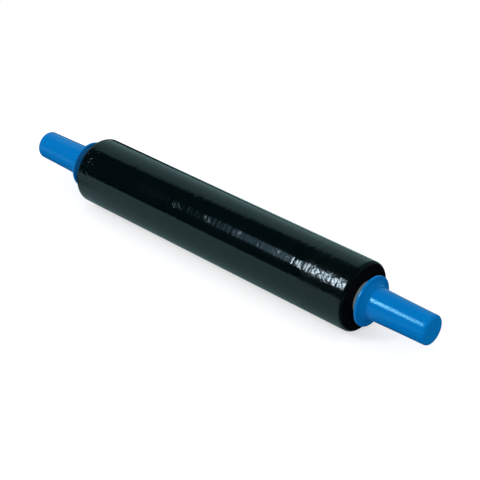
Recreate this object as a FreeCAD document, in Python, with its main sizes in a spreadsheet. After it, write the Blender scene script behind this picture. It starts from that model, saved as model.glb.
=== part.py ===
"""Stretch wrap roll on a card core, with two plug-in plastic handles.

The roll lies on its side. X runs along the roll, Z is up, and the origin is on the
ground under the middle of the whole length. All sizes are millimetres and degrees.
"""
import FreeCAD, Part
import math
import os
import Sketcher

SIZES = {
    # Wound film
    "film_width": 500.0,
    "film_diameter": 99.0,
    "film_end_rounding": 5.5,
    "flat_spot_width": 12.0,
    # Ribs drawn into the outer turns, the last one this far in from the film's near end
    "rib_inset": 51.0,
    "rib_pitch": 13.0,
    "rib_count": 4,
    "rib_depth": 0.35,
    # Turns showing as rings on the ends of the film
    "ring_count": 3,
    "ring_depth": 0.7,
    # Card core, standing out of the film at both ends
    "near_overhang": 9.5,
    "far_overhang": 18.5,
    "core_bore": 38.0,
    "core_wall": 5.0,
    # Handles
    "grip_length": 95.5,
    "grip_base_diameter": 45.4,
    "grip_tip_diameter": 41.8,
    "grip_tip_rounding": 4.0,
    "grip_waist": 0.15,
    "flange_diameter": 71.0,
    "flange_thickness": 3.5,
    "flange_chamfer": 0.7,
    "flange_blend": 8.0,
    "spigot_length": 70.0,
    "spigot_wall": 2.4,
    "spigot_nose_length": 2.4,
    "spigot_nose_drop": 0.8,
    "tip_wall": 3.0,
    # Clearances of a handle that turns in the core
    "spigot_clearance": 0.1,
    "flange_clearance": 0.3,
}

# Straight steps that a rounded corner of an outline is turned in
FILM_END_STEPS = 3
BLEND_STEPS = 5
TIP_STEPS = 3

FILM_RADIUS = "sizes.film_diameter / 2"
CORE_RADIUS = "(sizes.core_bore / 2 + sizes.core_wall)"
AXIS_HEIGHT = f"sqrt(({FILM_RADIUS}) ^ 2 - (sizes.flat_spot_width / 2) ^ 2)"
CORE_LENGTH = "(sizes.near_overhang + sizes.film_width + sizes.far_overhang)"
FILM_MIDDLE = "(sizes.far_overhang - sizes.near_overhang) / 2"
LAST_RIB = "(sizes.film_width / 2 - sizes.rib_inset)"
FLANGE_SEAT = f"({CORE_LENGTH} / 2 + sizes.flange_clearance)"
SPIGOT_RADIUS = "(sizes.core_bore / 2 - sizes.spigot_clearance)"
CAVITY_RADIUS = f"({SPIGOT_RADIUS} - sizes.spigot_nose_drop - sizes.spigot_wall)"
HANDLE_TIP = "(sizes.flange_thickness + sizes.grip_length)"
CAVITY_END = f"({HANDLE_TIP} - sizes.tip_wall)"

doc = FreeCAD.newDocument("stretch_wrap_roll")


def make_sheet():
    """Put the driving sizes in a spreadsheet, one named cell each."""
    sheet = doc.addObject("Spreadsheet::Sheet", "sizes")
    for row, (name, number) in enumerate(SIZES.items(), start=1):
        sheet.set(f"A{row}", name)
        sheet.set(f"B{row}", str(number))
        sheet.setAlias(f"B{row}", name)
    doc.recompute()
    return sheet


def value(formula):
    """The number that a formula of named sizes gives."""
    result = sizes.evalExpression(formula)
    return float(getattr(result, "Value", result))


def new_body(label):
    """An empty body that stands for one piece of the roll."""
    body = doc.addObject("PartDesign::Body", label)
    body.Label = label
    return body


def origin_item(body, role):
    """The plane or axis of a body's own origin that has this role."""
    return next(item for item in body.Origin.OriginFeatures if item.Role == role)


def new_sketch(body, name, role):
    """A sketch on one of the body's own origin planes."""
    sketch = body.newObject("Sketcher::SketchObject", name)
    sketch.AttachmentSupport = [(origin_item(body, role), "")]
    sketch.MapMode = "FlatFace"
    return sketch


def bind(sketch, formula, kind, *places):
    """Add a dimension to a sketch and keep it at what its formula gives."""
    index = sketch.addConstraint(Sketcher.Constraint(kind, *places, value(formula)))
    sketch.setExpression(f"Constraints[{index}]", formula)


def waisted_line(start, end, waist_formula):
    """An arc from start to end whose middle lies below the chord by the waist."""
    waist = value(waist_formula)
    middle = (start + end) / 2 - FreeCAD.Vector(0, waist, 0)
    return Part.Arc(start, middle, end)


def draw_outline(sketch, corners, waisted=None, waist_formula=""):
    """Draw a closed outline through corners given by formulas.

    All sides are straight but the one that starts at the corner numbered waisted: it
    is an arc that dips towards the axis by the waist.
    """
    points = [FreeCAD.Vector(value(x), value(y), 0) for x, y in corners]
    sides = []
    for number, (start, end) in enumerate(zip(points, points[1:] + points[:1])):
        if number == waisted:
            curve = waisted_line(start, end, waist_formula)
        else:
            curve = Part.LineSegment(start, end)
        sides.append(sketch.addGeometry(curve))
    for side, following in zip(sides, sides[1:] + sides[:1]):
        sketch.addConstraint(Sketcher.Constraint("Coincident", side, 2, following, 1))
    for side, (x_formula, y_formula) in zip(sides, corners):
        bind(sketch, x_formula, "DistanceX", -1, 1, side, 1)
        bind(sketch, y_formula, "DistanceY", -1, 1, side, 1)
    if waisted is not None:
        run = f"({corners[waisted + 1][0]} - {corners[waisted][0]})"
        fall = f"({corners[waisted][1]} - ({corners[waisted + 1][1]}))"
        radius = f"({run} ^ 2 + {fall} ^ 2) / (8 * {waist_formula}) + {waist_formula} / 2"
        bind(sketch, radius, "Radius", sides[waisted])


def rounded_corner(centre_x, centre_y, radius, from_angle, to_angle, steps):
    """Points on a quarter round, from one angle to the other, as formulas."""
    angles = [from_angle + (to_angle - from_angle) * step / steps for step in range(steps + 1)]
    return [
        (f"{centre_x} + {radius} * cos({angle} deg)", f"{centre_y} + {radius} * sin({angle} deg)")
        for angle in angles
    ]


def draw_circle(sketch, radius_formula):
    """Draw a circle about the sketch's origin."""
    circle = Part.Circle(FreeCAD.Vector(), FreeCAD.Vector(0, 0, 1), value(radius_formula))
    geometry = sketch.addGeometry(circle)
    sketch.addConstraint(Sketcher.Constraint("Coincident", geometry, 3, -1, 1))
    bind(sketch, radius_formula, "Radius", geometry)


def turn_about_axis(body, sketch, name, kind):
    """Revolve a sketch once round the roll's axis, adding or removing material."""
    feature = body.newObject(f"PartDesign::{kind}", name)
    feature.Profile = sketch
    feature.ReferenceAxis = (sketch, ["H_Axis"])
    feature.Angle = 360
    doc.recompute()
    return feature


def chamfer_edges(body, name, places, size_formula):
    """Chamfer the circular edges that lie at the given places, each (x, radius)."""
    base = body.Tip
    wanted = [(value(x), value(radius)) for x, radius in places]
    edges = [
        f"Edge{number}"
        for number, edge in enumerate(base.Shape.Edges, start=1)
        if isinstance(edge.Curve, Part.Circle)
        and any(
            math.isclose(edge.Curve.Center.x, x, abs_tol=1e-4)
            and math.isclose(edge.Curve.Radius, radius, abs_tol=1e-4)
            for x, radius in wanted
        )
    ]
    chamfer = body.newObject("PartDesign::Chamfer", name)
    chamfer.Base = (base, edges)
    chamfer.setExpression("Size", size_formula)
    doc.recompute()
    return chamfer


def place(body, x_formula, half_turn=False):
    """Lay a body on the roll's axis, at a place along it."""
    if half_turn:
        body.Placement.Rotation = FreeCAD.Rotation(FreeCAD.Vector(0, 0, 1), 180)
    body.setExpression("Placement.Base.x", x_formula)
    body.setExpression("Placement.Base.z", AXIS_HEIGHT)


def make_core():
    """The spiral-wound card tube, with its middle at the origin."""
    body = new_body("card_core")
    section = new_sketch(body, "core_section", "YZ_Plane")
    draw_circle(section, CORE_RADIUS)
    draw_circle(section, "sizes.core_bore / 2")
    tube = body.newObject("PartDesign::Pad", "core_tube")
    tube.Profile = section
    tube.Midplane = True
    tube.setExpression("Length", CORE_LENGTH)
    doc.recompute()
    place(body, "0")
    return body


def film_end_corners():
    """The film's near end from the core outwards: the rings of its turns, then the soft edge."""
    half = "sizes.film_width / 2"
    shoulder = f"({FILM_RADIUS} - sizes.film_end_rounding)"
    corners = []
    for turn in range(round(value("sizes.ring_count"))):
        ring = f"(({shoulder} - {CORE_RADIUS}) / sizes.ring_count)"
        corners.append((half, f"{CORE_RADIUS} + {turn} * {ring}"))
        corners.append((f"{half} - sizes.ring_depth", f"{CORE_RADIUS} + ({turn} + 0.5) * {ring}"))
    return corners + rounded_corner(
        f"{half} - sizes.film_end_rounding", shoulder, "sizes.film_end_rounding", 0, 90, FILM_END_STEPS
    )


def make_film():
    """All turns of the film as one solid, soft at its ends and flat where it lies."""
    body = new_body("film_roll")
    near_end = film_end_corners()
    far_end = [(f"-({x})", radius) for x, radius in reversed(near_end)]
    section = new_sketch(body, "film_section", "XZ_Plane")
    draw_outline(section, near_end + far_end)
    turn_about_axis(body, section, "film_turns", "Revolution")

    crease = new_sketch(body, "rib_crease", "XZ_Plane")
    draw_outline(
        crease,
        [
            (f"{LAST_RIB} - sizes.rib_pitch / 2", FILM_RADIUS),
            (f"{LAST_RIB} + sizes.rib_pitch / 2", FILM_RADIUS),
            (LAST_RIB, f"{FILM_RADIUS} - sizes.rib_depth"),
        ],
    )
    last_rib = turn_about_axis(body, crease, "last_rib", "Groove")
    ribs = body.newObject("PartDesign::LinearPattern", "ribs")
    ribs.Originals = [last_rib]
    ribs.Direction = (origin_item(body, "X_Axis"), [""])
    ribs.Reversed = True
    ribs.setExpression("Occurrences", "sizes.rib_count")
    ribs.setExpression("Length", "sizes.rib_pitch * (sizes.rib_count - 1)")
    body.Tip = ribs
    doc.recompute()

    ground = new_sketch(body, "ground_line", "YZ_Plane")
    draw_outline(
        ground,
        [
            (f"-{FILM_RADIUS}", "-sizes.film_diameter"),
            (FILM_RADIUS, "-sizes.film_diameter"),
            (FILM_RADIUS, f"-{AXIS_HEIGHT}"),
            (f"-{FILM_RADIUS}", f"-{AXIS_HEIGHT}"),
        ],
    )
    flat_spot = body.newObject("PartDesign::Pocket", "flat_spot")
    flat_spot.Profile = ground
    flat_spot.Midplane = True
    flat_spot.setExpression("Length", "sizes.film_width")
    doc.recompute()
    place(body, FILM_MIDDLE)
    return body


def make_handle(label, side):
    """One moulded handle. Its own X runs from the spigot's nose out to the grip's tip.

    The back of the flange is at zero, the spigot lies behind it and the grip in front.
    """
    body = new_body(label)
    nose = "-sizes.spigot_length"
    front = "sizes.flange_thickness"
    flange = "sizes.flange_diameter / 2"
    base = "sizes.grip_base_diameter / 2"
    tip = "sizes.grip_tip_diameter / 2"

    spigot_and_flange = [
        (nose, "0"),
        (nose, f"{SPIGOT_RADIUS} - sizes.spigot_nose_drop"),
        (f"{nose} + sizes.spigot_nose_length", SPIGOT_RADIUS),
        ("0", SPIGOT_RADIUS),
        ("0", flange),
        (front, flange),
    ]
    blend = rounded_corner(
        f"{front} + sizes.flange_blend", f"{base} + sizes.flange_blend",
        "sizes.flange_blend", 180, 270, BLEND_STEPS,
    )
    end = rounded_corner(
        f"{HANDLE_TIP} - sizes.grip_tip_rounding", f"{tip} - sizes.grip_tip_rounding",
        "sizes.grip_tip_rounding", 90, 0, TIP_STEPS,
    )
    outline = new_sketch(body, f"{label}_outline", "XZ_Plane")
    draw_outline(
        outline,
        spigot_and_flange + blend + end + [(HANDLE_TIP, "0")],
        waisted=len(spigot_and_flange + blend) - 1,
        waist_formula="sizes.grip_waist",
    )
    turn_about_axis(body, outline, f"{label}_form", "Revolution")
    chamfer_edges(
        body, f"{label}_flange_edges", [("0", flange), (front, flange)], "sizes.flange_chamfer"
    )

    hollow = new_sketch(body, f"{label}_hollow", "XZ_Plane")
    draw_outline(
        hollow,
        [(nose, "0"), (nose, CAVITY_RADIUS), (CAVITY_END, CAVITY_RADIUS), (CAVITY_END, "0")],
    )
    turn_about_axis(body, hollow, f"{label}_cavity", "Groove")
    place(body, f"{side} * {FLANGE_SEAT}", half_turn=side < 0)
    return body


def check(bodies):
    """Stop if any object failed or any piece isn't one valid solid."""
    failed = [
        item.Name for item in doc.Objects if {"Invalid", "Error"} & set(item.State)
    ]
    if failed:
        raise RuntimeError(f"failed objects: {failed}")
    for body in bodies:
        shape = body.Shape
        if shape.isNull() or not shape.isValid() or len(shape.Solids) != 1:
            raise RuntimeError(f"{body.Label} is not one valid solid")


sizes = make_sheet()
pieces = [
    make_core(),
    make_film(),
    make_handle("handle_near", 1),
    make_handle("handle_far", -1),
]
doc.recompute()
check(pieces)
os.makedirs("parts", exist_ok=True)
for piece in pieces:
    piece.Shape.exportStep(f"parts/{piece.Label}.step")
    print(piece.Label, round(piece.Shape.Volume), "mm3")
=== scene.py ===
"""Stretch wrap roll: glossy film on a card core, with a moulded handle in each end.

Every surface is turned about the roll's axis, which runs along X. A place on a piece is
given by how far it is along X and by an angle round the axis that starts at the front
(-Y) and climbs over the top (+Z). Lengths are metres.
"""
import logging
import math
from dataclasses import dataclass
from enum import Enum
from typing import Optional, Sequence, Union

import bpy
import numpy as np
from mathutils import Matrix, Vector


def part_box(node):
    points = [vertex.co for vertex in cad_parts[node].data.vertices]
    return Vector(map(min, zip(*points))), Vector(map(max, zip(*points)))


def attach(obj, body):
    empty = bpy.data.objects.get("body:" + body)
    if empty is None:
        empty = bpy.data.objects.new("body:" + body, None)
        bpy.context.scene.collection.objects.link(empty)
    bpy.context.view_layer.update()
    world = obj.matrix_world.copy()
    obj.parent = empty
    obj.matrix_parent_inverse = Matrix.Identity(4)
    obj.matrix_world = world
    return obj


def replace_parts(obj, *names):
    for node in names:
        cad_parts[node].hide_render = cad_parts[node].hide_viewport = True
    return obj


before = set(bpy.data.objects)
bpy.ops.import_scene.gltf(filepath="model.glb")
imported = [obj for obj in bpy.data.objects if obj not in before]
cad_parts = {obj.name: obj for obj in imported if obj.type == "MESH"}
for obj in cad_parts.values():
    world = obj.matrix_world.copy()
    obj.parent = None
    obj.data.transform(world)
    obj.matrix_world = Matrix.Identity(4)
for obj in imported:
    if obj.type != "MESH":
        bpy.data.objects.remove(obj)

MM = 0.001
# Edges that turn by more than this stay sharp.
SHARP_ANGLE_DEG = 38.0
# Faces that look along the roll, give or take this, are its ends.
END_FACING_DEG = 26.0
# Points this close are one point, and points this close to a plane lie on it.
SAME_POINT = 1e-7
ON_PLANE = 1e-6

log = logging.getLogger("stretch_wrap_roll")

Socket = bpy.types.NodeSocket
Number = Union[float, Socket]
Source = Union[Number, Sequence[float]]
Colour = tuple[float, float, float]
Scale = tuple[float, float, float]
Limits = tuple[float, float]


class RollEnd(Enum):
    """The two ends of the roll, each with the sign of its direction along X."""

    NEAR = 1
    FAR = -1


class Slot(Enum):
    """The record's material slots."""

    FILM = "black_film"
    CARD = "grey_card"
    PLASTIC = "blue_plastic"


def straight(start: Sequence[float], end: Sequence[float], steps: int) -> np.ndarray:
    """Points on a straight line: start + t (end - start), t in equal steps from 0 to 1.

    Args:
        start: (along, radius) of the first point.
        end: (along, radius) of the last point.
        steps: Number of steps.

    Returns:
        Array of steps + 1 rows of (along, radius).
    """
    share = np.linspace(0.0, 1.0, steps + 1)[:, None]
    return np.asarray(start) + share * (np.asarray(end) - np.asarray(start))


def arc(
    centre: Sequence[float], radius: float, from_deg: float, to_deg: float, steps: int
) -> np.ndarray:
    """Points on an arc: centre + radius (cos a, sin a), a in equal steps between two angles.

    Args:
        centre: (along, radius) of the arc's centre.
        radius: Radius of the arc.
        from_deg: First angle, 0 pointing along the roll and 90 away from its axis.
        to_deg: Last angle.
        steps: Number of steps.

    Returns:
        Array of steps + 1 rows of (along, radius).
    """
    angle = np.radians(np.linspace(from_deg, to_deg, steps + 1))
    return np.asarray(centre) + radius * np.column_stack([np.cos(angle), np.sin(angle)])


def joined(*stretches: np.ndarray) -> np.ndarray:
    """Stretches of a profile end to end, each shared end point kept once.

    Args:
        stretches: Arrays of rows of (along, radius), in order.

    Returns:
        One such array.
    """
    points = np.vstack(stretches)
    step = np.linalg.norm(np.diff(points, axis=0), axis=1)
    return points[np.concatenate([[True], step > SAME_POINT])]


def around(columns: int) -> np.ndarray:
    """Angles round the axis, in equal steps, the full turn left out."""
    return np.linspace(0.0, 2 * math.pi, columns, endpoint=False)[None, :]


def added(name: str, data: bpy.types.ID) -> bpy.types.Object:
    """A new object in the scene.

    Args:
        name: Its name.
        data: The mesh, lamp or camera that it shows.

    Returns:
        The object, at the origin.
    """
    thing = bpy.data.objects.new(name, data)
    bpy.context.scene.collection.objects.link(thing)
    return thing


def points_outwards(vertices: np.ndarray, quads: np.ndarray) -> bool:
    """Whether a closed surface's faces point outwards.

    The volume is a sixth of the sum, over the two triangles of each face, of
    a . (b x c), and it is positive where the faces point outwards.

    Args:
        vertices: Array of points.
        quads: Array of four vertex numbers a face.

    Returns:
        True if the volume is positive.
    """
    a, b, c, d = (vertices[quads[:, corner]] for corner in range(4))
    total = np.einsum("ij,ij->", a, np.cross(b, c)) + np.einsum("ij,ij->", a, np.cross(c, d))
    return bool(total > 0)


def turned_piece(
    name: str,
    along: np.ndarray,
    radius: np.ndarray,
    angle: np.ndarray,
    axis_height: float,
    looped: bool,
    lowest: Optional[float] = None,
) -> bpy.types.Object:
    """A closed surface carried round the roll's axis.

    A point lies at x = along, y = -radius cos(angle), z = axis height + radius
    sin(angle), with the angle going once round along the second direction of the grids.
    A looped profile joins its last row to its first. Any other starts and ends on the
    axis, where each end row becomes one point.

    Args:
        name: Name of the piece.
        along: Grid of places along X, rows down the profile and columns round the axis.
        radius: Grid of distances from the axis, of the same shape.
        angle: The columns' angles round the axis, as one row.
        axis_height: Height of the axis above the floor.
        looped: Whether the profile is a loop.
        lowest: Height of the floor, where the piece lies flat on it.

    Returns:
        The piece's object, at the origin.
    """
    rows, columns = radius.shape
    points = np.stack(
        [along, -radius * np.cos(angle), axis_height + radius * np.sin(angle)], axis=-1
    ).reshape(-1, 3)
    if lowest is not None:
        points[:, 2] = np.maximum(points[:, 2], lowest)
    ring = np.arange(rows * columns).reshape(rows, columns)
    if not looped:
        ring[0] = ring[0, 0]
        ring[-1] = ring[-1, 0]
    below = ring if looped else ring[:-1]
    above = np.roll(ring, -1, axis=0) if looped else ring[1:]
    quads = np.stack(
        [below, above, np.roll(above, -1, axis=1), np.roll(below, -1, axis=1)], axis=-1
    ).reshape(-1, 4)
    if not points_outwards(points, quads):
        quads = quads[:, ::-1]
    used, numbers = np.unique(quads, return_inverse=True)
    quads = numbers.reshape(-1, 4)
    pinched = np.any(quads == np.roll(quads, 1, axis=1), axis=1)
    fans = [list(dict.fromkeys(face)) for face in quads[pinched].tolist()]
    mesh = bpy.data.meshes.new(name)
    mesh.from_pydata(points[used].tolist(), [], quads[~pinched].tolist() + fans)
    mesh.shade_smooth()
    mesh.set_sharp_from_angle(angle=math.radians(SHARP_ANGLE_DEG))
    mesh.update()
    return added(name, mesh)


def dress(
    piece: bpy.types.Object, material: bpy.types.Material, body: str, node: str
) -> bpy.types.Object:
    """Give a piece its finish and body, and put it in place of its CAD node.

    Args:
        piece: The piece's object.
        material: Its material.
        body: CAD body that it moves with.
        node: CAD node that it stands for.

    Returns:
        The piece's object.
    """
    piece.data.materials.append(material)
    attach(piece, body)
    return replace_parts(piece, node)


def dress_ends(piece: bpy.types.Object, material: bpy.types.Material) -> None:
    """Give the faces that look along the roll a finish of their own.

    Args:
        piece: The piece's object, which has its first material.
        material: The finish of its ends.
    """
    piece.data.materials.append(material)
    faces = piece.data.polygons
    normals = np.empty(3 * len(faces), dtype=np.float32)
    faces.foreach_get("normal", normals)
    along_roll = np.abs(normals.reshape(-1, 3)[:, 0]) > math.cos(math.radians(END_FACING_DEG))
    last_slot = len(piece.data.materials) - 1
    faces.foreach_set("material_index", np.where(along_roll, last_slot, 0).astype(np.int32))


class Graph:
    """A node tree, with short ways to add the nodes that the finishes and the studio use."""

    def __init__(self, tree: bpy.types.NodeTree) -> None:
        """Work on a node tree."""
        self.nodes = tree.nodes
        self.links = tree.links

    def feed(self, socket: Socket, source: Source) -> None:
        """Link an input to another node, or set its value.

        Args:
            socket: The input.
            source: An output of a node, a number, or the numbers of a vector or colour.
        """
        if isinstance(source, bpy.types.NodeSocket):
            self.links.new(source, socket)
        elif socket.type == "RGBA":
            socket.default_value = (*source, 1.0)
        else:
            socket.default_value = source

    def add(
        self, kind: str, sources: dict[Union[int, str], Source], **settings: str
    ) -> bpy.types.bpy_prop_collection:
        """Add a node.

        Args:
            kind: Its type.
            sources: What its inputs are fed, by their names or numbers.
            settings: Its settings.

        Returns:
            Its outputs.
        """
        node = self.nodes.new(kind)
        for name, setting in settings.items():
            setattr(node, name, setting)
        for name, source in sources.items():
            self.feed(node.inputs[name], source)
        return node.outputs

    def calculate(self, operation: str, *sources: Number) -> Socket:
        """The result of one Math operation on numbers or sockets."""
        return self.add("ShaderNodeMath", dict(enumerate(sources)), operation=operation)[0]

    def remap(
        self,
        source: Socket,
        between: tuple[Number, Number],
        to: tuple[Number, Number] = (0.0, 1.0),
        smooth: bool = True,
    ) -> Socket:
        """Spread the values between two limits evenly over another range.

        Args:
            source: The values.
            between: The lowest and highest value that is spread.
            to: What the lowest and the highest become.
            smooth: Whether the spread eases in and out.

        Returns:
            The socket that gives the result.
        """
        names = ("Value", "From Min", "From Max", "To Min", "To Max")
        sources = dict(zip(names, (source, *between, *to)))
        easing = "SMOOTHSTEP" if smooth else "LINEAR"
        return self.add("ShaderNodeMapRange", sources, interpolation_type=easing)["Result"]

    def inside(self, source: Socket, low: float, high: float, soft: float) -> Socket:
        """1 between two limits and 0 outside them.

        Args:
            source: The values.
            low: The lower limit.
            high: The upper limit.
            soft: How far to each side of a limit the change reaches.

        Returns:
            The socket that gives the result.
        """
        rise = self.remap(source, (low - soft, low + soft))
        fall = self.remap(source, (high - soft, high + soft), (1.0, 0.0))
        return self.calculate("MULTIPLY", rise, fall)

    def component(self, vector: Socket, axis: str) -> Socket:
        """One of X, Y and Z of a vector."""
        return self.add("ShaderNodeSeparateXYZ", {0: vector})[axis]

    def length(self, vector: Socket) -> Socket:
        """The length of a vector."""
        return self.add("ShaderNodeVectorMath", {0: vector}, operation="LENGTH")["Value"]

    def coordinates(self, kind: str) -> Socket:
        """One output of a Texture Coordinate node."""
        return self.add("ShaderNodeTexCoord", {})[kind]

    def ray(self, kind: str) -> Socket:
        """One output of a Light Path node."""
        return self.add("ShaderNodeLightPath", {})[kind]

    def shade(
        self, kind: str, strength: Number = 1.0, colour: Union[Socket, Colour] = (1.0, 1.0, 1.0)
    ) -> Socket:
        """Add a plain shader.

        Args:
            kind: Its node type, which has a colour and maybe a strength.
            strength: Its strength, where it has one.
            colour: Its colour.

        Returns:
            The shader's socket.
        """
        node = self.nodes.new(kind)
        self.feed(node.inputs["Color"], colour)
        if "Strength" in node.inputs:
            self.feed(node.inputs["Strength"], strength)
        return node.outputs[0]

    def mix_shaders(self, share: Socket, first: Socket, second: Socket) -> Socket:
        """A shader between two others, by a share from 0 to 1."""
        return self.add("ShaderNodeMixShader", {0: share, 1: first, 2: second})[0]

    def add_shaders(self, first: Socket, second: Socket) -> Socket:
        """The sum of two shaders."""
        return self.add("ShaderNodeAddShader", {0: first, 1: second})[0]

    def mix_numbers(self, share: Socket, first: Number, second: Number) -> Socket:
        """A number between two others, by a share from 0 to 1."""
        return self.remap(share, (0.0, 1.0), (first, second), smooth=False)

    def mix_colours(
        self, share: Socket, first: Union[Socket, Colour], second: Union[Socket, Colour]
    ) -> Socket:
        """Mix two colours.

        Args:
            share: Share of the second colour, from 0 to 1.
            first: First colour.
            second: Second colour.

        Returns:
            The socket that gives the mix.
        """
        node = self.nodes.new("ShaderNodeMix")
        node.data_type = "RGBA"
        ends = [socket for socket in node.inputs if socket.type == "RGBA"]
        for socket, source in zip((node.inputs[0], *ends), (share, first, second)):
            self.feed(socket, source)
        return next(socket for socket in node.outputs if socket.type == "RGBA")


class Recipe(Graph):
    """A material with one Principled shader, and the patterns that its finish is made of."""

    def __init__(self, name: str, axis_height: float) -> None:
        """Start a material.

        Args:
            name: Its name.
            axis_height: Height of the roll's axis above the floor.
        """
        self.material = bpy.data.materials.new(name)
        self.material.use_nodes = True
        super().__init__(self.material.node_tree)
        self.shader = self.nodes["Principled BSDF"]
        self.axis_height = axis_height

    def set(self, name: str, source: Source) -> None:
        """Link or set one input of the material's shader."""
        self.feed(self.shader.inputs[name], source)

    def place(self, scale: Scale) -> Socket:
        """Coordinates about the roll's axis.

        Args:
            scale: Factors that they are stretched by along X, Y and Z.

        Returns:
            The socket that gives them.
        """
        to_axis = {"Vector": self.coordinates("Object"), "Location": (0, 0, -self.axis_height)}
        centred = self.add("ShaderNodeMapping", to_axis)[0]
        return self.add("ShaderNodeMapping", {"Vector": centred, "Scale": scale})[0]

    def clouds(self, scale: Scale, detail: float = 2.0, twist: float = 0.0) -> Socket:
        """Cloudy values near 0.5, scale of them to a metre along X, Y and Z."""
        sources = {"Scale": 1.0, "Detail": detail, "Distortion": twist}
        return self.add("ShaderNodeTexNoise", {"Vector": self.place(scale), **sources})["Fac"]

    def turns(self, scale: float, detail: float = 2.0) -> Socket:
        """Cloudy values that change only with the distance from the roll's axis.

        Args:
            scale: How many clouds there are to a metre.
            detail: Number of finer layers of clouds.

        Returns:
            The socket that gives them.
        """
        away = self.length(self.place((0.0, 1.0, 1.0)))
        sources = {"W": away, "Scale": scale, "Detail": detail}
        return self.add("ShaderNodeTexNoise", sources, noise_dimensions="1D")["Fac"]

    def bump(self, layers: Sequence[tuple[Socket, float]]) -> None:
        """Lay bumps over each other.

        Args:
            layers: A pattern for each bump, and its height in metres from 0 to 1.
        """
        below: dict[str, Socket] = {}
        for pattern, height in layers:
            sources = {"Height": pattern, "Distance": height, **below}
            below = {"Normal": self.add("ShaderNodeBump", sources)["Normal"]}
        self.set("Normal", below["Normal"])


@dataclass(frozen=True)
class BlackFilm:
    """Glossy stretch film in fine drawn ribs, cloudy where it clings, with stray wrinkles."""

    axis_height: float
    deep: Colour = (0.0002, 0.0024, 0.0029)
    clinging: Colour = (0.0010, 0.0042, 0.0048)
    shine_tint: Colour = (0.90, 0.97, 1.0)
    gloss: float = 0.05
    cling_roughness: float = 0.10
    slack_x: Limits = (0.170, 0.190)
    slack_gloss: float = 0.15
    slack_roughness: float = 0.31
    cling_scale: Scale = (22.0, 14.0, 14.0)
    cling_limits: Limits = (0.35, 0.70)
    rib_scale: Scale = (330.0, 9.0, 9.0)
    rib_height: float = 0.08 * MM
    fine_rib_scale: Scale = (1100.0, 30.0, 30.0)
    fine_rib_height: float = 0.010 * MM
    crease_scale: Scale = (90.0, 60.0, 60.0)
    crease_height: float = 0.10 * MM
    wrinkle_scale: Scale = (420.0, 130.0, 130.0)
    wrinkle_height: float = 0.10 * MM
    patch_scale: Scale = (28.0, 40.0, 40.0)
    patch_limits: Limits = (0.58, 0.68)

    def build(self) -> bpy.types.Material:
        """Make the film's material, duller by the near end, where the film is slack.

        Returns:
            The material.
        """
        recipe = Recipe("black_film", self.axis_height)
        place_x = recipe.component(recipe.coordinates("Object"), "X")
        slack_end = recipe.remap(place_x, self.slack_x)
        smoothest = recipe.mix_numbers(slack_end, self.gloss, self.slack_gloss)
        roughest = recipe.mix_numbers(slack_end, self.cling_roughness, self.slack_roughness)
        ribs = recipe.clouds(self.rib_scale)
        fine_ribs = recipe.clouds(self.fine_rib_scale, detail=1.0)
        cling = recipe.clouds(self.cling_scale, detail=3.0)
        creases = recipe.clouds(self.crease_scale, twist=1.5)
        patches = recipe.clouds(self.patch_scale, detail=1.0)
        wrinkles = recipe.calculate(
            "MULTIPLY",
            recipe.clouds(self.wrinkle_scale, detail=1.0, twist=2.0),
            recipe.remap(patches, self.patch_limits),
        )
        recipe.set("Base Color", recipe.mix_colours(cling, self.deep, self.clinging))
        recipe.set("Roughness", recipe.remap(cling, self.cling_limits, (smoothest, roughest)))
        recipe.set("Specular Tint", self.shine_tint)
        recipe.bump(
            [
                (ribs, self.rib_height),
                (fine_ribs, self.fine_rib_height),
                (creases, self.crease_height),
                (wrinkles, self.wrinkle_height),
            ]
        )
        return recipe.material


@dataclass(frozen=True)
class CutEdges:
    """The film's ends: dull and nearly black, a fine ring for every few turns."""

    axis_height: float
    deep: Colour = (0.0002, 0.0010, 0.0012)
    raised: Colour = (0.0006, 0.0026, 0.0030)
    shine: float = 0.16
    roughness: Limits = (0.95, 0.70)
    turn_scale: float = 1500.0
    turn_limits: Limits = (0.3, 0.7)
    turn_height: float = 0.05 * MM

    def build(self) -> bpy.types.Material:
        """Make the cut edges' material, shinier where a turn stands out.

        Returns:
            The material.
        """
        recipe = Recipe("cut_edges", self.axis_height)
        turns = recipe.turns(self.turn_scale, detail=3.0)
        recipe.set("Base Color", recipe.mix_colours(turns, self.deep, self.raised))
        recipe.set("Roughness", recipe.remap(turns, self.turn_limits, self.roughness))
        recipe.set("Specular IOR Level", self.shine)
        recipe.bump([(turns, self.turn_height)])
        return recipe.material


@dataclass(frozen=True)
class GreyCard:
    """Grey board wound in a spiral: felted fibres and paler flecks."""

    axis_height: float
    plain: Colour = (0.330, 0.450, 0.490)
    flecked: Colour = (0.400, 0.520, 0.560)
    shine: float = 0.3
    roughness: Limits = (0.75, 0.93)
    fibre_scale: Scale = (900.0, 500.0, 500.0)
    fibre_limits: Limits = (0.3, 0.7)
    fibre_height: float = 0.06 * MM
    fleck_scale: Scale = (120.0, 160.0, 160.0)
    fleck_limits: Limits = (0.30, 0.72)
    fleck_height: float = 0.12 * MM

    def build(self) -> bpy.types.Material:
        """Make the card's material.

        Returns:
            The material.
        """
        recipe = Recipe("grey_card", self.axis_height)
        fibres = recipe.clouds(self.fibre_scale, detail=4.0, twist=1.0)
        flecks = recipe.clouds(self.fleck_scale, detail=3.0)
        share = recipe.remap(flecks, self.fleck_limits)
        recipe.set("Base Color", recipe.mix_colours(share, self.plain, self.flecked))
        recipe.set("Roughness", recipe.remap(fibres, self.fibre_limits, self.roughness))
        recipe.set("Specular IOR Level", self.shine)
        recipe.bump([(fibres, self.fibre_height), (flecks, self.fleck_height)])
        return recipe.material


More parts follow.
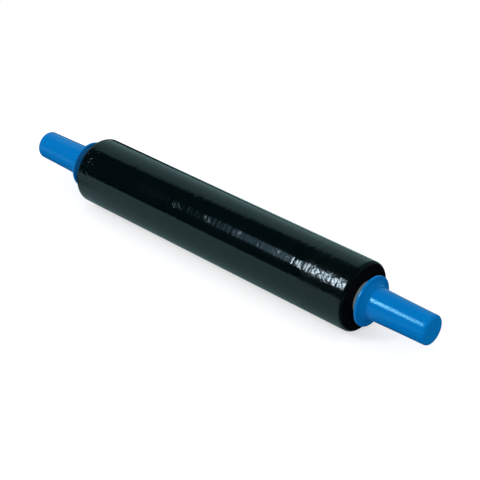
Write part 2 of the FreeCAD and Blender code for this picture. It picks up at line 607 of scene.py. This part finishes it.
@dataclass(frozen=True)
class BluePlastic:
    """Moulded polypropylene: even blue, a polished skin with faint flow marks and scuffs."""

    axis_height: float
    plain: Colour = (0.0, 0.182, 0.545)
    pale: Colour = (0.0, 0.198, 0.580)
    shine_tint: Colour = (0.36, 0.92, 1.0)
    shine: float = 0.34
    roughness: Limits = (0.13, 0.21)
    flow_scale: Scale = (18.0, 60.0, 60.0)
    flow_height: float = 0.04 * MM
    scuff_scale: Scale = (160.0, 160.0, 160.0)
    scuff_limits: Limits = (0.45, 0.75)
    grain_scale: Scale = (1400.0, 1400.0, 1400.0)
    grain_height: float = 0.0015 * MM

    def build(self) -> bpy.types.Material:
        """Make the plastic's material, duller where it is scuffed.

        Returns:
            The material.
        """
        recipe = Recipe("blue_plastic", self.axis_height)
        flow = recipe.clouds(self.flow_scale, detail=3.0, twist=0.6)
        scuffs = recipe.clouds(self.scuff_scale, detail=5.0, twist=0.4)
        grain = recipe.clouds(self.grain_scale)
        recipe.set("Base Color", recipe.mix_colours(flow, self.plain, self.pale))
        recipe.set("Roughness", recipe.remap(scuffs, self.scuff_limits, self.roughness))
        recipe.set("Specular Tint", self.shine_tint)
        recipe.set("Specular IOR Level", self.shine)
        recipe.bump([(flow, self.flow_height), (grain, self.grain_height)])
        return recipe.material


@dataclass
class FilmRoll:
    """All turns of the film: ringed ends, soft edges, drawn ribs and a flat spot underneath."""

    axis_height: float
    middle: float
    half_width: float
    radius: float
    core_radius: float
    end_rounding: float = 5.5 * MM
    rings: int = 3
    ring_depth: float = 0.7 * MM
    turn_rings: int = 9
    turn_share: float = 0.1
    turn_wander: float = 0.8
    rib_first: float = 160.0 * MM
    rib_pitch: float = 13.0 * MM
    rib_count: int = 4
    rib_depth: float = 0.06 * MM
    rib_width: float = 2.2 * MM
    rib_sway: float = 1.5 * MM
    rib_sways: int = 3
    wave_count: int = 6
    wave_lengths: Limits = (4.5 * MM, 9.0 * MM)
    wave_sway: Limits = (0.4, 1.6)
    wave_height: float = 0.09 * MM
    wave_seed: int = 11
    crease_first: float = 160.0 * MM
    crease_pitch: float = 3.8 * MM
    crease_count: int = 3
    crease_depth: float = 0.055 * MM
    crease_width: float = 0.65 * MM
    crease_bow: float = 1.5 * MM
    crease_bows: int = 4
    crease_bow_at: float = 0.75
    fold_count: int = 4
    fold_lengths: Limits = (9.0 * MM, 18.0 * MM)
    fold_lean_deg: Limits = (30.0, 75.0)
    fold_share: float = 0.35
    fold_bend: float = 0.7
    fold_bend_length: float = 38.0 * MM
    fold_bends: int = 7
    fold_height: float = 0.24 * MM
    fold_seed: int = 18
    tight_fold_share: float = 0.05
    slack_sink: float = 0.3 * MM
    slack_from: float = 172.0 * MM
    slack_soft: float = 6.0 * MM
    far_slack_from: float = -224.0 * MM
    far_slack_soft: float = 3.0 * MM
    far_slack: float = 3.4
    slack_angle_deg: float = 47.0
    slack_gather: float = 9.0
    slack_elsewhere: float = 0.1
    columns: int = 216
    column_gather: float = 0.6
    row_breaks: tuple[float, ...] = (174.0 * MM, 152.0 * MM, -150.0 * MM, -224.0 * MM)
    row_counts: tuple[int, ...] = (112, 48, 140, 46, 24)

    @classmethod
    def from_frame(cls) -> "FilmRoll":
        """The film that fills the CAD node's box.

        Returns:
            The film's sizes.
        """
        low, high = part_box("film_roll")
        return cls(
            axis_height=high.z - high.y,
            middle=(low.x + high.x) / 2,
            half_width=(high.x - low.x) / 2,
            radius=high.y,
            core_radius=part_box("card_core")[1].y,
        )

    def profile(self) -> np.ndarray:
        """The outline, from the near end over the body and back by the bore.

        Returns:
            A loop of rows of (along, radius).
        """
        shoulder = self.radius - self.end_rounding
        edge = self.half_width - self.end_rounding
        near, far = self.half_width, -self.half_width
        breaks = (edge, *self.row_breaks, -edge)
        body = [
            straight((start, self.radius), (end, self.radius), rows)
            for start, end, rows in zip(breaks, breaks[1:], self.row_counts)
        ]
        return joined(
            straight((near, self.core_radius), (near, shoulder), steps=30),
            arc((edge, shoulder), self.end_rounding, 0, 90, steps=10),
            *body,
            arc((-edge, shoulder), self.end_rounding, 90, 180, steps=10),
            straight((far, shoulder), (far, self.core_radius), steps=30),
            straight((far, self.core_radius), (near, self.core_radius), steps=4)[:-1],
        )

    def gathered(self) -> np.ndarray:
        """Angles round the axis, closest together where the slack gathers.

        Each is u - column gather sin(u - slack angle), with u in equal steps.
        """
        steps = around(self.columns)
        return steps - self.column_gather * np.sin(steps - math.radians(self.slack_angle_deg))

    def fine_ribs(self, along: np.ndarray, angle: np.ndarray) -> np.ndarray:
        """Ribs that the stretched film draws round the roll.

        Each of a few waves is cos(2 pi along / length + phase + sway sin(angle + start)),
        and they add up to between -1 and 1. The sway moves a rib a little along the roll
        as it goes round.

        Args:
            along: Places along X from the film's middle.
            angle: Angles round the axis.

        Returns:
            Heights between -1 and 1.
        """
        chance = np.random.default_rng(self.wave_seed)
        total = np.zeros(np.broadcast(along, angle).shape)
        for length in chance.uniform(*self.wave_lengths, self.wave_count):
            phase, start = chance.uniform(0, 2 * math.pi, 2)
            sway = chance.uniform(*self.wave_sway)
            total += np.cos(2 * math.pi * along / length + phase + sway * np.sin(angle + start))
        return total / self.wave_count

    def crinkles(self, along: np.ndarray, angle: np.ndarray) -> np.ndarray:
        """Slack folds that run askew to the ribs.

        Each is e to minus the square of a wave over the fold share, which gives narrow
        grooves where the wave passes 0. The wave is
        cos(pi cos(lean) along / length + turns angle / 2 + phase + bend). The turns are
        twice pi radius sin(lean) / length, rounded so that the fold closes round the
        roll, and the bend is a slow wave that curves it. Every other fold leans back.

        Args:
            along: Places along X from the film's middle.
            angle: Angles round the axis.

        Returns:
            Depths between 0 and 1.
        """
        chance = np.random.default_rng(self.fold_seed)
        total = np.zeros(np.broadcast(along, angle).shape)
        for number, length in enumerate(chance.uniform(*self.fold_lengths, self.fold_count)):
            lean = math.radians(chance.uniform(*self.fold_lean_deg)) * (-1) ** number
            turns = 2 * round(math.pi * self.radius * math.sin(lean) / length)
            phase, start = chance.uniform(0, 2 * math.pi, 2)
            bend = self.fold_bend * np.sin(
                2 * math.pi * along / self.fold_bend_length + self.fold_bends * angle + start
            )
            wave = np.cos(
                math.pi * math.cos(lean) * along / length + turns * angle / 2 + phase + bend
            )
            total += np.exp(-((wave / self.fold_share) ** 2))
        return total / self.fold_count

    def strip(self, angle: np.ndarray) -> np.ndarray:
        """How the slack gathers in a strip at the upper front.

        It is 1 in the strip's middle and falls off as e to the power of
        gather (cos(angle off) - 1), down to the share that is slack elsewhere.

        Args:
            angle: Angles round the axis.

        Returns:
            Shares of the full slack.
        """
        off = angle - math.radians(self.slack_angle_deg)
        gathered = np.exp(self.slack_gather * (np.cos(off) - 1))
        return self.slack_elsewhere + (1 - self.slack_elsewhere) * gathered

    def slackness(self, along: np.ndarray, angle: np.ndarray) -> np.ndarray:
        """How slack the outer turns are: 0 where they are tight, 1 at the near end.

        Along the roll it is the sum of two S-curves, 1 / (1 + e^-t), with t the distance
        past the place where each end's slack begins, over a few millimetres. The far
        end's curve counts for more.

        Args:
            along: Places along X from the film's middle.
            angle: Angles round the axis.

        Returns:
            Shares of the full slack.
        """
        near = 1 / (1 + np.exp(-(along - self.slack_from) / self.slack_soft))
        far = 1 / (1 + np.exp((along - self.far_slack_from) / self.far_slack_soft))
        return (near + self.far_slack * far) * self.strip(angle)

    @staticmethod
    def grooves(
        along: np.ndarray, first: float, pitch: float, count: int, width: float
    ) -> np.ndarray:
        """Evenly spaced grooves.

        The depth is e to minus the square of the distance to the next one over the width.

        Args:
            along: Places along X.
            first: Where the first groove is.
            pitch: Distance from one to the next.
            count: Number of grooves.
            width: Half-width of a groove.

        Returns:
            Shares of the depth, between 0 and 1.
        """
        nearest = np.clip(np.round((along - first) / pitch), 0, count - 1)
        return np.exp(-(((along - first - nearest * pitch) / width) ** 2))

    def drawn_ribs(self, along: np.ndarray, angle: np.ndarray) -> np.ndarray:
        """Depth of the few broad ribs near the near end, and of thin creases at the first.

        A rib sways a little along the roll as it goes round, and the creases, which show
        in the slack strip, bow.

        Args:
            along: Places along X from the film's middle.
            angle: Angles round the axis.

        Returns:
            Depths in metres.
        """
        swaying = along + self.rib_sway * np.sin(self.rib_sways * angle)
        ribs = self.grooves(
            swaying, self.rib_first, self.rib_pitch, self.rib_count, self.rib_width
        )
        bow = np.cos(self.crease_bows * (angle - self.crease_bow_at))
        bowed = along + self.crease_bow * bow
        creases = self.strip(angle) * self.grooves(
            bowed, self.crease_first, self.crease_pitch, self.crease_count, self.crease_width
        )
        return self.rib_depth * ribs + self.crease_depth * creases

    def ring_dips(self, radius: np.ndarray, angle: np.ndarray) -> np.ndarray:
        """How far the cut edges of the turns lie back from the end's plane.

        A dip is the ring depth times sin squared (pi rings share), where the share goes
        from 0 at the core to 1 at the soft edge. A small part of it is made up by the
        waves of single turns, which wander as they go round.

        Args:
            radius: Distances from the axis.
            angle: Angles round the axis.

        Returns:
            Depths in metres.
        """
        shoulder = self.radius - self.end_rounding
        share = np.clip((radius - self.core_radius) / (shoulder - self.core_radius), 0.0, 1.0)
        broad = np.sin(math.pi * self.rings * share) ** 2
        wander = self.turn_wander * np.sin(2 * angle)
        single = 0.5 + 0.5 * np.sin(2 * math.pi * self.turn_rings * share + wander)
        fading = np.sin(math.pi * share)
        return self.ring_depth * (
            (1 - self.turn_share) * broad + self.turn_share * single * fading
        )

    def build(
        self, material: bpy.types.Material, end_material: bpy.types.Material
    ) -> bpy.types.Object:
        """Make the film's piece, in place of the CAD node.

        Args:
            material: The finish of its side.
            end_material: The finish of its two ends.

        Returns:
            The piece's object.
        """
        along, radius = self.profile().T[:, :, None]
        angle = self.gathered()
        shoulder = self.radius - self.end_rounding
        outer = np.clip((radius - shoulder) / self.end_rounding, 0.0, 1.0)
        slack = self.slackness(along, angle)
        ribs = (0.5 - 0.5 * self.fine_ribs(along, angle)) * self.wave_height
        share = self.tight_fold_share + (1 - self.tight_fold_share) * slack
        folds = self.crinkles(along, angle) * share * self.fold_height
        past = np.clip((along - self.slack_from) / (self.half_width - self.slack_from), 0.0, 1.0)
        folds += self.slack_sink * past * slack
        wrinkled = radius - outer * (ribs + folds + self.drawn_ribs(along, angle))
        on_end = (radius > self.core_radius) & (np.abs(along) > self.half_width - ON_PLANE)
        dips = np.where(on_end, self.ring_dips(radius, angle), 0.0)
        lying = self.middle + along - np.sign(along) * dips
        piece = turned_piece(
            "film_turns", lying, wrinkled, angle, self.axis_height, looped=True, lowest=0.0
        )
        dress(piece, material, "roll", "film_roll")
        dress_ends(piece, end_material)
        return piece


@dataclass
class CardCore:
    """The card tube, wound in a spiral from strips that meet at a seam."""

    axis_height: float
    half_length: float
    radius: float
    wall: float = 5.0 * MM
    mouth_rounding: float = 0.4 * MM
    layer: float = 0.8 * MM
    layer_step: float = 0.08 * MM
    seam_pitch: float = 62.0 * MM
    seam_width: float = 0.9 * MM
    seam_depth: float = 0.18 * MM
    columns: int = 180
    body_rows: int = 420

    @classmethod
    def from_frame(cls, axis_height: float) -> "CardCore":
        """The tube that fills the CAD node's box."""
        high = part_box("card_core")[1]
        return cls(axis_height=axis_height, half_length=high.x, radius=high.y)

    def profile(self) -> np.ndarray:
        """The outline, from the near mouth over the outside to the bore.

        Returns:
            A loop of rows of (along, radius).
        """
        near, far = self.half_length, -self.half_length
        bore = self.radius - self.wall
        edge = near - self.mouth_rounding
        rim = self.radius - self.mouth_rounding
        return joined(
            straight((near, bore), (near, rim), steps=8),
            arc((edge, rim), self.mouth_rounding, 0, 90, steps=3),
            straight((edge, self.radius), (-edge, self.radius), steps=self.body_rows),
            arc((-edge, rim), self.mouth_rounding, 90, 180, steps=3),
            straight((far, rim), (far, bore), steps=8),
            straight((far, bore), (near, bore), steps=6)[:-1],
        )

    def seam(self, along: np.ndarray, angle: np.ndarray) -> np.ndarray:
        """Depth of the spiral seam.

        The seam lies where along / pitch + angle / (2 pi) is a whole number. Its depth
        falls off from there as e to the minus square of the distance over the width.

        Args:
            along: Places along X.
            angle: Angles round the axis.

        Returns:
            Depths in metres.
        """
        lead = along / self.seam_pitch + angle / (2 * math.pi)
        off = (lead - np.round(lead)) * self.seam_pitch
        return self.seam_depth * np.exp(-((off / self.seam_width) ** 2))

    def build(self, material: bpy.types.Material) -> bpy.types.Object:
        """Make the tube's piece, in place of the CAD node.

        On its mouths each layer of card lies back by the layer step times
        |sin(pi depth / layer)|, with the depth counted from the outside.

        Args:
            material: The card's finish.

        Returns:
            The piece's object.
        """
        along, radius = self.profile().T[:, :, None]
        angle = around(self.columns)
        outside = radius > self.radius - self.mouth_rounding / 2
        layers = np.abs(np.sin(math.pi * (self.radius - radius) / self.layer)) * self.layer_step
        on_mouth = np.abs(along) > self.half_length - ON_PLANE
        lying = along - np.sign(along) * np.where(on_mouth, layers, 0.0) + 0 * angle
        grooved = radius - np.where(outside, self.seam(along, angle), 0.0)
        piece = turned_piece("core_tube", lying, grooved, angle, self.axis_height, looped=True)
        return dress(piece, material, "roll", "card_core")


@dataclass
class Handle:
    """A moulded handle: hollow spigot, flange, blend and a tapered grip with a closed tip."""

    end: RollEnd
    axis_height: float
    seat: float
    flange_radius: float
    tip: float
    grip_base_radius: float = 22.7 * MM
    grip_tip_radius: float = 20.9 * MM
    grip_waist: float = 0.15 * MM
    tip_rounding: float = 4.0 * MM
    flange_thickness: float = 3.5 * MM
    flange_rounding: float = 0.8 * MM
    blend: float = 8.0 * MM
    spigot_radius: float = 18.9 * MM
    spigot_length: float = 70.0 * MM
    nose_length: float = 2.4 * MM
    nose_drop: float = 0.8 * MM
    cavity_radius: float = 15.7 * MM
    cavity_rounding: float = 2.0 * MM
    tip_wall: float = 3.0 * MM
    columns: int = 192

    @classmethod
    def from_frame(cls, end: RollEnd, axis_height: float) -> "Handle":
        """The handle that fills its CAD node's box.

        Args:
            end: The roll's end that it is in.
            axis_height: Height of the roll's axis above the floor.

        Returns:
            The handle's sizes.
        """
        low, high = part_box(f"handle_{end.name.lower()}")
        reach = max(abs(low.x), abs(high.x))
        seat = reach - (high.x - low.x) + cls.spigot_length
        return cls(end, axis_height, seat, flange_radius=high.y, tip=reach - seat)

    def hollow(self) -> np.ndarray:
        """The hollow's wall, from the axis at its closed end out to the spigot's nose.

        Returns:
            Rows of (along, radius), counted from the flange's back.
        """
        nose = -self.spigot_length
        end = self.tip - self.tip_wall
        corner = (end - self.cavity_rounding, self.cavity_radius - self.cavity_rounding)
        return joined(
            straight((end, 0.0), (end, corner[1]), steps=6),
            arc(corner, self.cavity_rounding, 0, 90, steps=5),
            straight((corner[0], self.cavity_radius), (nose, self.cavity_radius), steps=20),
        )

    def spigot(self) -> np.ndarray:
        """The spigot's outside, from the hollow's mouth over the nose to the flange's back.

        Returns:
            Rows of (along, radius), counted from the flange's back.
        """
        nose = -self.spigot_length
        drop = self.spigot_radius - self.nose_drop
        shoulder = (nose + self.nose_length, self.spigot_radius)
        return joined(
            straight((nose, self.cavity_radius), (nose, drop), steps=2),
            straight((nose, drop), shoulder, steps=3),
            straight(shoulder, (0.0, self.spigot_radius), steps=16),
        )

    def flange(self) -> np.ndarray:
        """The flange with its broken edges, and the blend that flows into the grip.

        Returns:
            Rows of (along, radius), counted from the flange's back.
        """
        rim = self.flange_radius - self.flange_rounding
        front = self.flange_thickness
        foot = self.grip_base_radius + self.blend
        return joined(
            straight((0.0, self.spigot_radius), (0.0, rim), steps=10),
            arc((self.flange_rounding, rim), self.flange_rounding, 180, 90, steps=6),
            arc((front - self.flange_rounding, rim), self.flange_rounding, 90, 0, steps=6),
            straight((front, rim), (front, foot), steps=4),
            arc((front + self.blend, foot), self.blend, 180, 270, steps=14),
        )

    def grip(self) -> np.ndarray:
        """The grip's side and tip.

        The side is a straight taper less waist times 4 t (1 - t), with t from 0 to 1
        along it, and the tip is a quarter round and a flat face.

        Returns:
            Rows of (along, radius), counted from the flange's back.
        """
        edge = self.tip - self.tip_rounding
        rim = self.grip_tip_radius - self.tip_rounding
        foot = self.flange_thickness + self.blend
        side = straight((foot, self.grip_base_radius), (edge, self.grip_tip_radius), steps=36)
        share = np.linspace(0.0, 1.0, len(side))
        side[:, 1] -= self.grip_waist * 4 * share * (1 - share)
        return joined(
            side,
            arc((edge, rim), self.tip_rounding, 90, 0, steps=10),
            straight((self.tip, rim), (self.tip, 0.0), steps=12),
        )

    def build(self, material: bpy.types.Material) -> bpy.types.Object:
        """Make the handle's piece, in place of its CAD node.

        Args:
            material: The plastic's finish.

        Returns:
            The piece's object.
        """
        side = self.end.name.lower()
        profile = joined(self.hollow(), self.spigot(), self.flange(), self.grip())
        along, radius = profile.T[:, :, None]
        angle = around(self.columns)
        lying = self.end.value * (self.seat + along) + 0 * angle
        turned = radius + 0 * angle
        piece = turned_piece(
            f"{side}_grip_and_flange", lying, turned, angle, self.axis_height, looped=False
        )
        return dress(piece, material, f"{side}_handle", f"handle_{side}")


@dataclass(frozen=True)
class PhotoCamera:
    """The camera at the photograph's viewing angle.

    The film's centre lies right, down and ahead of the camera by the given lengths.
    """

    azimuth_deg: float = 42.35
    elevation_deg: float = 32.3
    lens_mm: float = 105.0
    sensor_mm: float = 36.0
    right: float = -24.03 * MM
    down: float = -15.49 * MM
    ahead: float = 1950.7 * MM

    def build(self, film_centre: Vector) -> bpy.types.Object:
        """Make the camera and set it as the scene's.

        The camera's right is (cos azimuth, sin azimuth, 0), and it looks along
        (-sin azimuth cos elevation, cos azimuth cos elevation, -sin elevation).

        Args:
            film_centre: The point that right, down and ahead are counted to.

        Returns:
            The camera's object.
        """
        azimuth = math.radians(self.azimuth_deg)
        elevation = math.radians(self.elevation_deg)
        right = Vector((math.cos(azimuth), math.sin(azimuth), 0.0))
        ahead = Vector(
            (
                -math.sin(azimuth) * math.cos(elevation),
                math.cos(azimuth) * math.cos(elevation),
                -math.sin(elevation),
            )
        )
        up = right.cross(ahead)
        data = bpy.data.cameras.new("photo_camera")
        data.lens = self.lens_mm
        data.sensor_width = self.sensor_mm
        camera = added("photo_camera", data)
        place = film_centre - self.right * right + self.down * up - self.ahead * ahead
        turn = Matrix((right, up, -ahead)).transposed().to_4x4()
        camera.matrix_world = Matrix.Translation(place) @ turn
        bpy.context.scene.camera = camera
        return camera


@dataclass(frozen=True)
class SoftLamp:
    """A rectangular lamp at the front left, its sides along the roll and round it.

    Its power is pi times its area times its radiance.
    """

    direction: tuple[float, float, float] = (-0.443, -0.617, 0.650)
    distance: float = 12.0
    width: float = 0.80
    height: float = 4.0
    radiance: float = 38.0
    colour: Colour = (0.83, 0.93, 1.0)

    def build(self, target: Vector) -> None:
        """Make the lamp.

        Args:
            target: The point that it faces.
        """
        data = bpy.data.lights.new("front_lamp", "AREA")
        data.shape = "RECTANGLE"
        data.size = self.width
        data.size_y = self.height
        data.energy = math.pi * self.width * self.height * self.radiance
        data.color = self.colour
        back = Vector(self.direction).normalized()
        roll_axis = Vector((1.0, 0.0, 0.0))
        across = (roll_axis - roll_axis.dot(back) * back).normalized()
        turn = Matrix((across, back.cross(across), back)).transposed().to_4x4()
        lamp = added("front_lamp", data)
        lamp.matrix_world = Matrix.Translation(target + self.distance * back) @ turn


@dataclass(frozen=True)
class Room:
    """What surrounds the roll: white to the eye, an even fill to matt surfaces.

    To gloss it is a dark room with a pale wall behind the roll, a pale floor that sweeps
    up a little in front, and a soft glow around the lamp. A direction in it goes by its
    X and by its climb, the angle atan2(z, y): 0 straight behind, 90 overhead, 180 in front.
    """

    fill: float = 0.78
    dark: float = 0.008
    wall_tint: Colour = (0.60, 0.98, 1.0)
    wall_low: float = 0.63
    wall_high: float = 0.40
    wall_top_near_deg: float = 61.0
    wall_top_far_deg: float = 81.0
    wall_near_x: float = -0.53
    wall_far_x: float = -0.645
    wall_edge: Limits = (-0.05, 0.03)
    wall_fade_x: Limits = (-0.50, -0.38)
    wall_left: float = 0.25
    sweep: float = 0.58
    sweep_from_deg: float = 176.5
    sweep_edge: float = 0.01
    glow_tint: Colour = (0.42, 0.75, 1.0)
    glow: float = 1.42
    glow_fade_x: Limits = (-0.598, -0.540)
    glow_end_x: Limits = (-0.30, -0.10)
    glow_climb_deg: Limits = (121.0, 144.0)
    glow_edge: float = 0.04

    def glossy_view(self, graph: Graph) -> Socket:
        """What each direction looks like to gloss.

        Args:
            graph: The world's node tree.

        Returns:
            The shader that gives it.
        """
        direction = graph.coordinates("Generated")
        along = graph.component(direction, "X")
        climb = graph.calculate(
            "ARCTAN2", graph.component(direction, "Z"), graph.component(direction, "Y")
        )
        near_top = math.radians(self.wall_top_near_deg)
        far_top = math.radians(self.wall_top_far_deg)
        top = graph.remap(
            along, (self.wall_far_x, self.wall_near_x), (far_top, near_top), smooth=False
        )
        shade = graph.remap(climb, (0.0, far_top), (self.wall_low, self.wall_high), smooth=False)
        below_top = graph.remap(graph.calculate("SUBTRACT", top, climb), self.wall_edge)
        faded = graph.remap(along, self.wall_fade_x, (1.0, self.wall_left))
        wall = graph.calculate("MULTIPLY", graph.calculate("MULTIPLY", shade, below_top), faded)
        sweep_from = math.radians(self.sweep_from_deg)
        sweep_limits = (sweep_from - self.sweep_edge, sweep_from + self.sweep_edge)
        sweep = graph.remap(climb, sweep_limits, (0.0, self.sweep))
        pale = graph.calculate("ADD", graph.calculate("MAXIMUM", wall, self.dark), sweep)
        near_lamp = graph.calculate(
            "MULTIPLY",
            graph.remap(along, self.glow_fade_x, (0.0, self.glow)),
            graph.remap(along, self.glow_end_x, (1.0, 0.0)),
        )
        low, high = (math.radians(limit) for limit in self.glow_climb_deg)
        level = graph.inside(climb, low, high, self.glow_edge)
        glow = graph.calculate("MULTIPLY", near_lamp, level)
        return graph.add_shaders(
            graph.shade("ShaderNodeBackground", pale, self.wall_tint),
            graph.shade("ShaderNodeBackground", glow, self.glow_tint),
        )

    def build(self) -> None:
        """Make the world."""
        world = bpy.data.worlds.new("studio")
        bpy.context.scene.world = world
        world.use_nodes = True
        graph = Graph(world.node_tree)
        graph.nodes.clear()
        glossy = self.glossy_view(graph)
        matt = graph.shade("ShaderNodeBackground", self.fill)
        white = graph.shade("ShaderNodeBackground")
        mirrored = graph.calculate(
            "MAXIMUM", graph.ray("Is Glossy Ray"), graph.ray("Is Transmission Ray")
        )
        unseen = graph.mix_shaders(mirrored, matt, glossy)
        seen = graph.mix_shaders(graph.ray("Is Camera Ray"), unseen, white)
        graph.add("ShaderNodeOutputWorld", {"Surface": seen})


@dataclass(frozen=True)
class PaleFloor:
    """A matt pale floor that glows a little to the eye and fades to white away from the roll.

    Its mirror image in gloss is a painted reflection: a little cooler, as the wall's is, and
    painted near black beyond the film's near end and around the far handle, though no card lies
    there.
    """

    half: float = 15.0
    plain: Colour = (0.66, 0.66, 0.66)
    # Painted reflection: gloss alone sees the floor in these colours, cooler, and near black in
    # two painted dark patches.
    mirrored: Colour = (0.40, 0.61, 0.62)
    mirrored_painted_dark: Colour = (0.01, 0.04, 0.05)
    near_painted_dark_x: Limits = (0.25, 0.27)
    far_painted_dark_x: Limits = (-0.36, -0.27)
    far_painted_dark_y: Limits = (-0.22, -0.06)
    glow: float = 0.58
    fade: Limits = (0.42, 0.95)

    def build(self) -> None:
        """Make the floor, which isn't part of the object."""
        corners = self.half * np.array([(-1, -1, 0), (1, -1, 0), (1, 1, 0), (-1, 1, 0)], float)
        mesh = bpy.data.meshes.new("floor")
        mesh.from_pydata(corners.tolist(), [], [(0, 1, 2, 3)])
        floor = added("floor", mesh)
        material = bpy.data.materials.new("pale_floor")
        mesh.materials.append(material)
        material.use_nodes = True
        graph = Graph(material.node_tree)
        graph.nodes.clear()
        eye = graph.ray("Is Camera Ray")
        place = graph.coordinates("Object")
        along, across = graph.component(place, "X"), graph.component(place, "Y")
        # Painted dark reflection: to gloss only, the floor turns near black beyond the film's
        # near end and around the far handle, where nothing lies.
        far_painted_dark = graph.calculate(
            "MULTIPLY",
            graph.remap(along, self.far_painted_dark_x, (1.0, 0.0)),
            graph.remap(across, self.far_painted_dark_y),
        )
        near_painted_dark = graph.remap(along, self.near_painted_dark_x)
        painted_dark_share = graph.calculate("MAXIMUM", near_painted_dark, far_painted_dark)
        mirrored = graph.mix_colours(painted_dark_share, self.mirrored, self.mirrored_painted_dark)
        colour = graph.mix_colours(graph.ray("Is Glossy Ray"), self.plain, mirrored)
        matt = graph.shade("ShaderNodeBsdfDiffuse", colour=colour)
        glow = graph.shade("ShaderNodeEmission", graph.calculate("MULTIPLY", eye, self.glow))
        away = graph.length(place)
        faded = graph.calculate("MULTIPLY", graph.remap(away, self.fade), eye)
        white = graph.shade("ShaderNodeEmission")
        shown = graph.mix_shaders(faded, graph.add_shaders(matt, glow), white)
        graph.add("ShaderNodeOutputMaterial", {"Surface": shown})


def main() -> None:
    """Build the roll, its surroundings and the camera."""
    logging.basicConfig(level=logging.INFO, format="%(message)s")
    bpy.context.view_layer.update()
    film = FilmRoll.from_frame()
    axis_height = film.axis_height
    plastic = BluePlastic(axis_height).build()
    pieces = [
        CardCore.from_frame(axis_height).build(GreyCard(axis_height).build()),
        film.build(BlackFilm(axis_height).build(), CutEdges(axis_height).build()),
        *(Handle.from_frame(end, axis_height).build(plastic) for end in RollEnd),
    ]
    for piece in pieces:
        log.info("%s: %d faces", piece.name, len(piece.data.polygons))
    film_centre = Vector((film.middle, 0.0, axis_height))
    SoftLamp().build(film_centre)
    Room().build()
    PaleFloor().build()
    PhotoCamera().build(film_centre)
    bpy.context.scene.view_settings.view_transform = "Standard"


if __name__ == "__main__":
    main()
